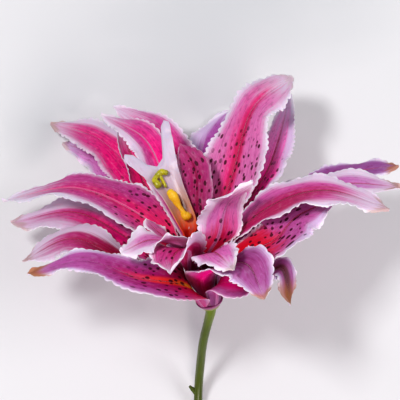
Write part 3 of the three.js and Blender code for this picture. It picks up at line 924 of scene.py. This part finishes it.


# Each tepal's heart is partly the deeper colour of its root and partly a painted glow of light through it; dark
# hearts are painted shade.
TEPALS = (
    Tepal(
        "front_left", Ring.FOURTH, 218, (9.5, 10.5), 1, ((-8.5, -22, 46), (-24.3, -19.2, 53), (-38.3, -26, 51)),
        replace(PALE, body=(222, 136, 196), core=(210, 92, 164), edge_width=2.6, spots=0.1),
        replace(BACK, body=(238, 176, 218), core=(226, 132, 192)), wave=(2, 5), frill=1.4,
    ),
    Tepal(
        "front", Ring.THIRD, 248, (10.5, 13), 0.7, ((-5.4, -24, 44.5), (-12, -25.5, 50), (-14, -34.7, 49.5)),
        replace(PINK, body=(214, 78, 152), core=(214, 26, 116), spots=0.5, spots_to=0.9, rim_side=0.9, rim_width=0.2,
                tip_start=0.9, edge_width=2.4),
        replace(BACK, body=(196, 56, 130), core=(180, 20, 92), rim_side=0.9), claw=(1.6, 4.2), lift=(0, 80),
        frill=1.4,
    ),
    Tepal(
        "front_right", Ring.THIRD, 300, (9.6, 11), 0.7, ((5, -26.3, 41), (8.2, -25.5, 50), (16, -33, 48)),
        replace(PINK, body=(220, 108, 182), core=(204, 10, 108), core_width=0.6, core_reach=0.7, rim_width=0.2,
                spots=0.25, edge_width=2.6, tan=0.35),
        replace(BACK, body=(186, 56, 122), core=(170, 16, 86)), claw=(1.6, 4.4), throat=(11.8, 23), frill=1.3,
    ),
    Tepal(
        "right", Ring.FOURTH, 300, (11, 12.5), 0.6, ((9, -16.5, 42), (13, -0.8, 56), (25.5, 8.5, 69)),
        replace(PALE, body=(234, 136, 200), core=(222, 40, 140), core_side=0.3, core_reach=0.66, heart=(220, 0, 70),
                heart_reach=0.7, rim_width=0.24, rim_side=-0.6, spots=0.45, spots_from=0.3, spots_to=0.75),
        replace(BACK, body=(216, 118, 184), core=(212, 20, 112), core_side=0.4, core_width=0.5, core_reach=0.7,
                heart=(206, 0, 52), heart_reach=0.52, rim=(240, 222, 240), rim_width=0.26, rim_side=-0.4, spots=0.3,
                spots_from=0.3, spots_to=0.7), roll=(-20, -45, -45, -40),
    ),
    # Its outer face has a painted glow of light shining through its claw.
    Tepal(
        "front_right", Ring.SECOND, 276, (13, 13), 0.85, ((13, -30.5, 39), (23.5, -31.5, 41), (31, -47.5, 28)),
        replace(LILAC, body=(172, 88, 154), core=(146, 40, 112), tip_start=0.94, tan=0.7, tan_reach=0.05, spots=0.0,
                rib=(124, 36, 86)),
        replace(BACK, body=(204, 108, 182), core=(190, 24, 124), glow=(255, 6, 152), glow_along=0.34, glow_across=0.1,
                glow_size=1.1), claw=(2.6, 9.2),
    ),
    # Both its faces have a painted glow of light shining through.
    Tepal(
        "front_right", Ring.OUTER, 302, (11, 9), 0.8, ((25, -41.5, 16), (40, -33, 23.5), (44, -51.5, 8)),
        replace(LILAC, body=(172, 92, 156), core=(154, 70, 124), rim_width=0.2, tip_start=0.97, tan=0.75,
                tan_reach=0.16, rib=(92, 48, 32), rib_width=3.4, rib_reach=1.1, spots=0.0, glow=(255, 10, 160),
                glow_along=0.37, glow_size=0.66),
        replace(BACK, body=(160, 48, 136), core=(142, 14, 102), rim_width=0.1, heart=(112, 34, 92),
                glow=(250, 14, 160), glow_along=0.36, glow_size=0.85), claw=(2.6, 8.4), throat=(17.5, 17),
        cup=(35, 15, 0, -10), roll=(25, 0, 0, 0),
    ),
    Tepal(
        "right", Ring.SECOND, 338, (13.5, 14), 0.7, ((35, -20, 35), (48, -7.5, 39), (69, 1.5, 41)),
        replace(LILAC, body=(196, 96, 166), core=(196, 2, 84), core_width=0.5, core_reach=0.55, heart=(214, 0, 30),
                heart_reach=0.54, rim_width=0.2, rim_side=-0.5, edge_width=2.4, spots=0.85, spots_from=0.12,
                spots_to=0.8), throat=(12.8, 22), roll=(10, 25, 15, 0),
    ),
    Tepal(
        "right", Ring.THIRD, 0, (13, 12), 1, ((33, -3.5, 44), (61, 5, 50), (92, -4.5, 40)),
        replace(PINK, body=(214, 92, 170), core=(186, 4, 92), core_side=-0.3, core_width=0.5, rim_width=0.26,
                rim_side=0.3, heart=(226, 44, 128), spots=0.4, spots_to=0.42, rib=(150, 0, 70), tan=0.5,
                tip_start=0.8),
    ),
    # Its dark red heart is painted shade by the nectary stripe.
    Tepal(
        "front_left", Ring.OUTER, 243, (12, 7.2), 0.95, ((-30, -37.4, 36), (-57, -29.4, 41.7), (-85, -36.7, 35)),
        replace(LILAC, body=(190, 90, 168), core=(168, 22, 116), core_width=0.5, core_reach=0.75, rim_width=0.18,
                heart=(204, 0, 62), heart_reach=0.37, rib=(255, 66, 40), rib_width=3.2, rib_reach=0.52, spots=0.75,
                spots_from=0.2, spots_to=0.6, nectar=0.95, tan=0.9, tan_reach=0.09, tip_start=0.92), claw=(2.2, 12.6),
        cup=(25, 10, 0, -10), roll=(-44, -30, -10, 0),
    ),
    # Its dark heart is painted shade on the lower part of the tepal.
    Tepal(
        "left", Ring.SECOND, 186, (8.8, 13), 1.15, ((-31, -33.2, 32.1), (-62.5, -19, 40.2), (-88.5, -30.5, 32)),
        replace(HOT, body=(196, 60, 140), core=(184, 0, 78), core_reach=0.8, heart=(112, 0, 18), heart_reach=0.66,
                rim_width=0.3, rim_side=-0.5, spots=0.2, tan=0.5, tip_start=0.84), cup=(15, 6, -5, -10),
    ),
    Tepal(
        "left", Ring.HEART, 218, (4.4, 6.2), 1.1, ((-14.3, -20.3, 38.2), (-21, -15, 44), (-27, -9.5, 49.5)),
        replace(PALE, body=(214, 116, 172), core=(210, 90, 150), rim_width=0.16, tip_start=0.92, spots=0.2),
        replace(BACK, body=(206, 116, 172)), wave=(0.7, 3),
    ),
    Tepal(
        "left", Ring.THIRD, 153, (15, 12), 0.75, ((-30, -7, 44), (-63, 6.4, 50), (-100, -0.7, 42)),
        replace(PINK, body=(198, 66, 146), core=(210, 14, 110), core_width=0.3, rim_width=0.16, rim_side=0.8,
                rim=(232, 226, 242), heart=(255, 44, 116), heart_reach=0.5, rib=(250, 110, 168), rib_width=0.9,
                spots=0.8, spots_from=0.12, tip_start=0.84), throat=(10.2, 24.5), lift=(0, 25),
    ),
    Tepal(
        "back", Ring.HEART, 75, (8, 8), 0.8, ((-1.5, -3, 46), (-2.5, 15, 57), (-10, 28, 66)),
        replace(PINK, body=(184, 58, 126), core=(170, 18, 96), core_reach=0.9, spots=0.9, spots_to=1.0,
                rim_width=0.02, edge_width=0.4, tip_start=0.99, heart=(224, 40, 88), rib_width=0.3), frill=0.6,
    ),
    Tepal(
        "back_left", Ring.FOURTH, 115, (9, 9), 0.7, ((-17, 9, 52), (-28, 31, 66), (-50, 43, 73)),
        replace(HOT, core=(248, 10, 136), core_side=-0.4, body=(204, 72, 150), rim_width=0.22, rim_side=0.8,
                rib=(252, 160, 206), rib_width=0.6, spots=0.2, spots_to=0.5),
    ),
    # Its pale glow by the midrib and its hot heart are painted glow of light shining through.
    Tepal(
        "back_right", Ring.THIRD, 55, (18.4, 13), 1.9, ((15.8, 12, 47), (26.2, 46, 67.5), (46.5, 62, 73.5)),
        replace(PINK, body=(220, 116, 178), core=(234, 20, 126), core_width=0.16, core_side=0.1, core_reach=0.95,
                rim_width=0.18, rim=(224, 208, 228), edge_width=2.6, heart=(255, 60, 120), heart_reach=0.34,
                rib=(194, 6, 80), rib_width=3.2, rib_reach=0.8, spots=0.85, spots_from=0.18, spots_to=0.68,
                glow=(254, 170, 204), glow_along=0.3, glow_across=0.2, glow_size=0.4, tip_start=0.84, tan=0.25),
        frill=1.4,
    ),
    Tepal(
        "back_inner", Ring.SECOND, 110, (10, 8.8), 0.6, ((-24.8, 2.9, 39.2), (-33.5, 20.4, 51), (-42, 39, 61)),
        replace(HOT, body=(222, 56, 144), core=(240, 10, 116), heart=(226, 20, 110), rim_width=0.14),
        replace(BACK, body=(226, 116, 180), core=(220, 60, 142)), claw=(1.1, 2.4), throat=(12.6, 21.7), lift=(0, 80),
    ),
    # Its dark heart is painted shade.
    Tepal(
        "back", Ring.THIRD, 94, (13, 11), 0.7, ((-9, 9, 42), (-21, 33, 58), (-44, 47.5, 68)),
        replace(PINK, body=(206, 76, 154), core=(232, 28, 130), core_width=0.5, rib=(250, 156, 206), rib_width=0.5,
                heart=(120, 12, 64), heart_reach=0.58, spots=0.2),
    ),
    Tepal(
        "back_right", Ring.SECOND, 48, (8.6, 10), 0.8, ((28.5, 6.5, 39.3), (36.6, 22, 44), (46.5, 54, 52)),
        replace(LILAC, body=(246, 138, 210), core=(255, 20, 158), core_width=0.6, core_side=-0.3, core_reach=0.8,
                rim_width=0.2, rim_side=-0.6, edge_width=2.6, spots=0.8, spots_from=0.1, spots_to=0.75,
                heart=(244, 26, 126)),
    ),
    Tepal(
        "back_left", Ring.SECOND, 136, (12, 10.6), 1, ((-33.5, 12.4, 38.9), (-52.5, 32, 51.7), (-77, 39.5, 57)),
        replace(HOT, body=(214, 72, 150), core=(242, 0, 128), core_width=0.66, core_side=0.1, rim_width=0.24,
                edge_width=2.4, rim_side=-0.6, rib=(255, 56, 156), heart=(240, 6, 120), spots=0.7, spots_to=0.5,
                tan=0.5), claw=(1.1, 2.2), throat=(14, 20.5),
    ),
    Tepal(
        "right_high", Ring.SECOND, 12, (11.3, 11.5), 1.1, ((38, -4.4, 33.6), (69, 8, 39), (98.5, 6, 36)),
        replace(PALE, body=(206, 120, 190), core=(200, 76, 160), core_reach=0.7, tan=0.6, tan_reach=0.05),
    ),
    Tepal(
        "right", Ring.OUTER, 21, (11, 9), 1.2, ((36, -3, 28.6), (68, 12.3, 33.8), (99, 17.2, 34)),
        replace(LILAC, body=(158, 84, 156), core=(140, 54, 126), rim_width=0.12, tip_start=0.97, tan=0.8,
                tan_reach=0.04), claw=(2.6, 6.6),
    ),
    Tepal(
        "left", Ring.OUTER, 170, (12.5, 14), 1.1, ((-32.5, -21, 30), (-63, -6, 36.4), (-96, -12, 31.5)),
        replace(HOT, body=(206, 96, 166), core=(228, 2, 122), core_width=0.45, core_side=0.25, rim_width=0.4,
                rim_side=-0.7, heart=(228, 0, 104), heart_reach=0.4, spots=0.4, spots_from=0.2, spots_to=0.6,
                tan=0.4), claw=(2.3, 6),
    ),
    Tepal(
        "back", Ring.OUTER, 75, (18, 17), 0.8, ((6, 8, 32), (10, 30, 38), (15, 46, 42)),
        replace(LILAC, body=(182, 96, 178), core=(164, 52, 150), rim_width=0.3, edge_width=3.2, tip_start=0.9,
                spots=0.1), claw=(2.5, 6),
    ),
    Tepal(
        "back_left", Ring.OUTER, 124, (13, 9), 0.9, ((-37.5, 7.5, 31.2), (-54, 23.5, 40), (-71, 29.5, 47.4)),
        replace(LILAC, body=(228, 150, 212), core=(212, 92, 182), rim_width=0.16, edge_width=2.4, spots=0.25,
                tan=0.4), claw=(2.2, 5.6), frill=0.4,
    ),
)  # fmt: skip


# ---- the pistil and its lobes

PISTIL_GRID = (121, 65)  # points along it and across it
LOBE_RINGS, LOBE_SIDES = 61, 32
LOBE_END = 0.97  # radius at the ends of a lobe against that of the last bead
RECEPTACLE_RINGS, RECEPTACLE_SIDES = 90, 64
STALK_RINGS, STALK_SIDES = 241, 40


@dataclass(frozen=True)
class Pistil:
    """The flattened pistil: a trough that splits into two fingers.

    fork gives, for places across it, how far it reaches beyond its neck and how far it leans to the left. wavy
    is the height of its margins' waves, fall how far its fingers fall back and long about how long it is.
    thick is half its thickness in the middle, and how much less that is at the margins.
    """

    stations: tuple[Point, ...] = ((0.6, 165, 6.8), (6.4, 158, 29))
    path: tuple[Point, ...] = ((-7.2, -13, 40.5), (-10.8, -2.5, 49), (-19.5, 14, 62))
    half: tuple[float, ...] = (0.9, 1.3, 3.2, 5.6, 6.4, 6.4, 7, 9.4)
    cup: tuple[float, ...] = (50, 70, 70, 55, 25)
    neck: float = 0.7
    wavy: float = 0.5
    fall: float = 1.5
    long: float = 90
    thick: tuple[float, float] = (0.4, 0.2)
    fork: tuple[Point, ...] = (
        (-1, 21, -6.5), (-0.7, 23, -7.5), (-0.38, 21, -8), (-0.26, 6, -2.5), (0, 3, 0), (0.3, 6, 1.5),
        (0.55, 13.5, 3.5), (0.8, 15.5, 5), (1, 12, 5),
    )  # fmt: skip
    # Red and orange at its root are partly its own colour and partly a painted glow of light through it; the tan is
    # partly painted shade.
    finish: Tissue = Tissue(
        "pistil_finish",
        ((0.0, (220, 10, 20)), (0.22, (255, 40, 30)), (0.34, (255, 92, 56)), (0.4, (232, 140, 90)),
         (0.52, (196, 150, 130)), (0.62, (200, 172, 186)), (0.74, (212, 194, 212)), (1.0, (208, 196, 216))),
        mottle=(196, 146, 176), mottled=0.4, grain=0.35, relief=0.35, roughness=0.36,
        # Painted shade in the trough's hollow, a painted red glow of light through the root and a painted highlight.
        stains=((0.5, -0.35, 0.075, (112, 60, 52)), (0.29, -0.1, 0.05, (255, 56, 30)),
                (0.335, -0.3, 0.016, (255, 226, 220))),
    )  # fmt: skip

    def middle(self, s: Array, t: Array) -> Array:
        """Works out the middle surface.

        Up to the neck the section is an arc bent by the cup. Beyond it the fingers run on along the last
        direction by the fork's reach, lean to the left, and fall back with the square of their share.

        Args:
            s: Shares of the length.
            t: Places across it, -1 and 1 at the margins.

        Returns:
            The surface as a grid of points.
        """
        points = np.array([*(around_axis(*p) for p in self.stations), *(from_above(*p) for p in self.path)])
        body = np.minimum(1, s / self.neck)
        centre, forward, across, inward = spine_frames(points, (0, 0, 0, 0), body)
        bend = np.radians(through(self.cup, body))[:, None]
        width = through(self.half, body)[:, None]
        reach, lean = (np.interp(t, [f[0] for f in self.fork], [f[k] for f in self.fork]) for k in (1, 2))
        out = (np.maximum(0, s - self.neck) / (1 - self.neck))[:, None]
        wavy = self.wavy * smooth(0.4, 0.8, s)[:, None] * np.abs(t) ** 4 * ripple(s, 26, 41)[:, None]
        sideways, lifted = arc(width, bend, t)
        sideways, lifted = sideways + lean * out, lifted - self.fall * out**2 + wavy
        grid = over_line(centre, across, inward, sideways, lifted)
        return grid + forward[:, None] * (reach * out)[..., None]

    def build(self) -> None:
        """Makes the piece and dresses it."""
        s, t = np.linspace(0, 1, PISTIL_GRID[0]), np.linspace(-1, 1, PISTIL_GRID[1])
        grid = self.middle(s, t)
        width = through(self.half, np.minimum(1, s / self.neck))[:, None]
        half = self.thick[0] - self.thick[1] * np.abs(t) ** 4 + 0 * width
        skin = thin_blade(grid, half, half, s, t, width * t, self.long * s)
        skin.piece("pistil", Slot.PISTIL, self.finish.material())

    def over(self, beads: Array) -> tuple[Array, Array]:
        """Finds the centres and radii of a string of beads over the inner face.

        Args:
            beads: Share of the length, place across it, height over it and radius, one bead a row.

        Returns:
            The centres and the radii.
        """
        step = 1e-3
        centres = []
        for s, t, height, _ in beads:
            grid = self.middle(np.array([s - step, s, s + step]), np.array([t - step, t, t + step]))
            centres.append(grid[1, 1] + grid_normals(grid)[1, 1] * height)
        return np.array(centres), beads[:, 3]


@dataclass(frozen=True)
class Lobes:
    """Fleshy lobes over the pistil's face: strings of beads that run into each other."""

    node: str
    slot: Slot
    strings: tuple[tuple[tuple[float, float, float, float], ...], ...]
    finish: Tissue
    relief: float = 0.1

    def lobe(self, centres: Array, radii: Array, seed: int) -> Skin:
        """Builds one lobe: a round tube through its beads whose radius closes as a half circle at each end.

        Args:
            centres: The beads' centres.
            radii: Their radii.
            seed: Seed of the small lumps on it.

        Returns:
            The closed skin.
        """
        ends = [unit(centres[0] - centres[1]) * radii[0], unit(centres[-1] - centres[-2]) * radii[-1]]
        row = np.concatenate([[centres[0] + ends[0]], centres, [centres[-1] + ends[1]]])
        s = 0.5 - 0.5 * np.cos(np.linspace(0, math.pi, LOBE_RINGS))
        line = bead_path(row, s)
        last = len(row) - 1
        size = np.interp(s * last, np.arange(last + 1), [radii[0] * LOBE_END, *radii, radii[-1] * LOBE_END])
        from_end = np.minimum(s * last, (1 - s) * last)
        cap = np.sqrt(np.clip(1 - (1 - np.clip(from_end, 0, 1)) ** 2, 0.0004, 1))
        turn = turns(LOBE_SIDES)
        lumps = ripple(s, 14, seed)[:, None] * np.cos(2 * turn + seed)
        lumps = lumps + ripple(s, 9, seed + 1)[:, None] * np.cos(3 * turn)
        return round_tube(line, (size * cap)[:, None] * (1 + self.relief * lumps))

    def build(self, pistil: Pistil) -> None:
        """Makes the piece over the pistil and dresses it."""
        lobes = [self.lobe(*pistil.over(np.array(beads)), 50 + i) for i, beads in enumerate(self.strings)]
        joined(lobes).piece(self.node, self.slot, self.finish.material())


STIGMA = Lobes(
    "stigma", Slot.STIGMA,
    (
        ((0.685, 0.4, 2.6, 1.3), (0.69, 0.05, 2.8, 1.8), (0.68, -0.2, 2.8, 1.3)),
        ((0.685, 0.4, 2.6, 1.2), (0.665, 0.8, 2.3, 1.4), (0.64, 0.9, 2.4, 1.8)),
        ((0.68, 0.25, 2.6, 0.9), (0.65, 0.28, 2.2, 0.8), (0.627, 0.3, 2, 0.7)),
    ),
    # Olive lobes, yellow in the middle of each; that yellow is partly its own colour and partly a painted highlight.
    Tissue(
        "stigma_finish", ((0.0, (96, 92, 8)), (0.5, (200, 190, 30)), (1.0, (110, 104, 14))),
        mottle=(60, 50, 6), mottled=0.7, grain=0.8, drawn=1.0, roughness=0.3, relief=0.2, coat=0.3,
    ),
)  # fmt: skip
ANTHER = Lobes(
    "anther", Slot.ANTHER,
    (
        ((0.59, 0.3, 3, 1.9), (0.565, 0.2, 3.2, 2.4), (0.51, 0.1, 2.6, 1.3), (0.47, -0.05, 2.6, 1.2),
         (0.43, -0.15, 3.2, 2.2), (0.425, -0.5, 3.4, 2.1)),
    ),
    Tissue(
        "anther_finish", ((0.0, (250, 206, 30)), (0.5, (250, 190, 40)), (1.0, (246, 186, 24))),
        mottle=(226, 140, 20), mottled=0.45, grain=0.7, drawn=1.0, roughness=0.45, relief=0.2,
    ),
)  # fmt: skip


# ---- the receptacle and the stalk


@dataclass(frozen=True)
class Receptacle:
    """The knob that the tepals grow on: a profile of distance and rise, turned about the axis."""

    profile: tuple[tuple[float, float], ...] = (
        (0.02, -5.9), (3.7, -5.9), (3.7, -7.4), (4.2, -7.4), (4.6, -7.2), (5.4, -5.9), (6.8, -4.1), (7.0, -3.6),
        (6.8, -3.3), (5.8, -3.1), (5.8, -1.2), (6.5, 0.2), (6.2, 1.0), (3.2, 3.4), (0.02, 6.1),
    )  # fmt: skip
    height: float = 14
    finish: Tissue = Tissue(
        "receptacle_finish",
        ((0.0, (104, 120, 24)), (0.3, (130, 140, 40)), (0.42, (150, 76, 126)), (1.0, (170, 60, 120))),
        mottle=(110, 40, 90), mottled=0.4, grain=0.6,
    )  # fmt: skip

    def build(self) -> None:
        """Makes the piece and dresses it."""
        share = np.linspace(0, 1, RECEPTACLE_RINGS)
        corner = np.linspace(0, 1, len(self.profile))
        out, rise = (np.interp(share, corner, [p[k] for p in self.profile]) for k in (0, 1))
        turn = turns(RECEPTACLE_SIDES)
        ring = np.cos(turn)[:, None] * RIGHTWARD + np.sin(turn)[:, None] * BACKWARD
        rings = (HEART + rise[:, None] * AXIS)[:, None] + out[:, None, None] * ring
        skin = closed_tube(rings, out[:, None], self.height * share)
        skin.piece("receptacle", Slot.RECEPTACLE, self.finish.material())


@dataclass(frozen=True)
class Stalk:
    """The cut stalk: a round tube along its middle line, with a small nub.

    The radius falls from top to its even value over the share tapered of the length, and slim makes all of it
    narrower. Each of the furrows has a depth, a number round the stalk and a phase, and furrowed is how much of
    that depth counts. dents holds the depth, the number and the seed of the dents along it. rounded is how much
    of its radius is left at the cut, and nub the two ends of the nub.
    """

    line: tuple[Point, ...] = (
        (5.35, -52.4, 48.2), (5.3, -56, 45.2), (3.9, -62, 39), (1.6, -72, 28.5), (0.2, -84, 15.5),
        (-0.7, -95, 6.5), (-1.1, -108, 1), (-1, -123, -0.3), (-0.6, -141, -0.3), (0, -160, -0.3),
    )  # fmt: skip
    radius: float = 2.25
    top: float = 2.9
    tapered: float = 1 / 6
    slim: float = 0.98
    furrows: tuple[Point, ...] = ((0.03, 9, 0), (0.02, 5, 1))
    furrowed: float = 0.6
    dents: tuple[float, float, int] = (0.04, 40, 7)
    nub: tuple[Point, Point] = ((-2.3, -99, 4.2), (-5, -96.2, 5.2))
    nub_radii: tuple[float, ...] = (1.4, 1.3, 1.2, 1.0, 0.8)
    rounded: float = 0.93
    finish: Tissue = Tissue(
        "stalk_finish",
        ((0.0, (112, 132, 14)), (0.12, (74, 88, 0)), (0.95, (58, 70, 0)), (0.985, (140, 150, 70)),
         (1.0, (170, 176, 100))),
        mottle=(36, 50, 2), mottled=0.5, grain=0.5, drawn=0.08, roughness=0.34, relief=0.25, coat=0.15,
    )  # fmt: skip

    def build(self) -> None:
        """Makes the piece and dresses it."""
        dense = bead_path(np.array(self.line), np.linspace(0, 1, 2001))
        travel = travelled(dense)
        share = np.linspace(0, 1, STALK_RINGS)
        line = np.stack([np.interp(share * travel[-1], travel, dense[:, k]) for k in range(3)], 1)
        width = self.radius + (self.top - self.radius) * np.maximum(0, 1 - share / self.tapered) ** 2
        turn = turns(STALK_SIDES)
        furrows = sum(deep * np.cos(count * turn + phase) for deep, count, phase in self.furrows)
        dents = self.dents[0] * np.abs(ripple(share, *self.dents[1:]))[:, None]
        radii = width[:, None] * (self.slim + self.furrowed * furrows) - dents
        radii[-1] *= self.rounded
        nub = np.stack([np.linspace(a, b, len(self.nub_radii)) for a, b in zip(*self.nub)], 1)
        lobe = Lobes("stalk", Slot.STALK, (), self.finish).lobe(nub, np.array(self.nub_radii), 77)
        joined([round_tube(line, radii), lobe]).piece("stalk", Slot.STALK, self.finish.material())


# ---- the studio


@dataclass(frozen=True)
class SoftLight:
    """A soft square light that is aimed at the bloom."""

    name: str
    place: Point
    size: float
    power: float
    color: Rgb = (255, 255, 255)
    aim: Point = (0, 0.03, 0.06)

    def build(self) -> None:
        """Sets the light up."""
        lamp = bpy.data.lights.new(self.name, "AREA")
        lamp.size, lamp.energy, lamp.color = self.size, self.power, linear(self.color)[:3]
        stand = placed(self.name, lamp)
        stand.location = self.place
        way = Vector(self.aim) - Vector(self.place)
        stand.rotation_euler = way.to_track_quat("-Z", "Y").to_euler()


@dataclass(frozen=True)
class Studio:
    """The floor, the lights and the camera."""

    floor_side: float = 3.0
    floor: Rgb = (214, 214, 216)
    floor_grain: tuple[float, float] = (3, 6)
    dimmer: float = 0.95
    sky: Rgb = (236, 240, 248)
    world: float = 0.3
    lights: tuple[SoftLight, ...] = (
        SoftLight("key_light", (-0.45, 0.4, 1.2), 0.22, 8.6),
        SoftLight("fill_light", (0.9, 0.1, 0.9), 0.5, 4.6),
        SoftLight("low_light", (0.05, -0.9, 0.7), 0.4, 6.2, (255, 244, 240)),
    )
    lens: float = 270
    sensor: float = 36
    clip: tuple[float, float] = (0.05, 20)
    camera_place: Point = (0.000744, 0.048078, 1.552659)

    def build(self) -> None:
        """Sets the whole studio up."""
        self.build_floor()
        for light in self.lights:
            light.build()
        self.build_camera()

    def build_floor(self) -> None:
        """Lays the plain pale floor."""
        half = self.floor_side / 2
        corners = [(-half, -half, 0), (half, -half, 0), (half, half, 0), (-half, half, 0)]
        mesh = bpy.data.meshes.new("floor")
        mesh.from_pydata(corners, [], [(0, 1, 2, 3)])
        box = Finish("floor_finish")
        grain = box.noise(box.node("TexCoord").outputs["Object"], *self.floor_grain)
        tone = linear(self.floor)
        dim = (*(self.dimmer * c for c in tone[:3]), 1.0)
        color = box.mix(box.fade(grain, -0.4, 0.4), tone, dim)
        mesh.materials.append(box.done({"Base Color": color, "Roughness": 0.85}))
        placed("floor", mesh)

    def build_camera(self) -> None:
        """Sets up the camera, which looks straight down on the flower, and the colour management."""
        scene = bpy.context.scene
        eye = bpy.data.cameras.new("camera")
        eye.lens, eye.sensor_width, (eye.clip_start, eye.clip_end) = self.lens, self.sensor, self.clip
        scene.camera = placed("camera", eye)
        scene.camera.location = self.camera_place
        scene.world = bpy.data.worlds.new("studio")
        scene.world.use_nodes = True
        background = scene.world.node_tree.nodes["Background"]
        background.inputs["Color"].default_value = linear(self.sky)
        background.inputs["Strength"].default_value = self.world
        scene.view_settings.view_transform = "Standard"
        scene.view_settings.look = "Medium High Contrast"


def main() -> None:
    """Builds the flower, piece by piece, then the studio."""
    logging.basicConfig(level=logging.INFO, format="%(message)s")
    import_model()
    group = face_paint_group()
    for index, tepal in enumerate(TEPALS):
        tepal.build(index, group)
    pistil = Pistil()
    pistil.build()
    for lobes in (STIGMA, ANTHER):
        lobes.build(pistil)
    Receptacle().build()
    Stalk().build()
    Studio().build()


if __name__ == "__main__":
    main()
